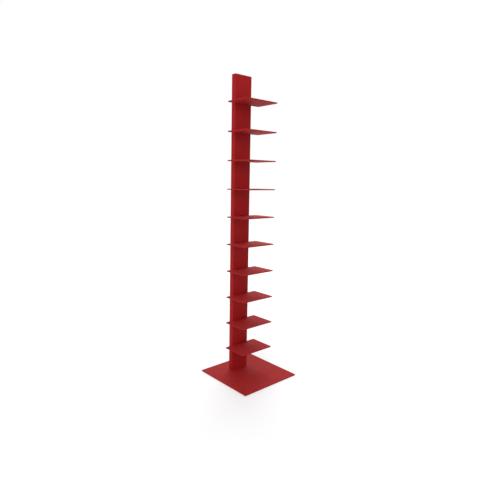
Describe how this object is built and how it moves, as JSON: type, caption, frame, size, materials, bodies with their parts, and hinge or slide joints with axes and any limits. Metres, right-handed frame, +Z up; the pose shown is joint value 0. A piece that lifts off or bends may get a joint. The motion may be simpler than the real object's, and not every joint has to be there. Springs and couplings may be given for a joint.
{
  "type": "spine bookshelf",
  "caption": "Slim free-standing steel book tower: square base plate, flat rectangular column set back from the middle, and a stack of small cantilevered shelves hooked into its front face.",
  "frame": {"origin": "middle of the square footprint, on the floor", "axes": "+Z up along the column, -Y towards the front where the books stand, +X to the right seen from the front"},
  "size_m": [0.3556, 0.3556, 1.524],
  "materials": {
    "coat": "matt red powder coat with a fine orange-peel texture",
    "cap": "moulded plastic in the same matt red",
    "bare_steel": "zinc-plated steel, dull",
    "black_screw": "black-oxide steel, satin",
    "pad": "dull black rubber"
  },
  "bodies": {
    "root": {"base_plate": "coat", "floor_pads": "pad", "foot_bracket": "bare_steel", "foot_screws": "black_screw", "column_lower": "coat", "column_upper": "coat", "joint_sleeve": "bare_steel", "joint_screws": "black_screw", "column_cap": "cap", "anchor_nut": "bare_steel", "shelf_01": "coat", "shelf_02": "coat", "shelf_03": "coat", "shelf_04": "coat", "shelf_05": "coat", "shelf_06": "coat", "shelf_07": "coat", "shelf_08": "coat", "shelf_09": "coat", "shelf_10": "coat"}
  },
  "joints": []
}
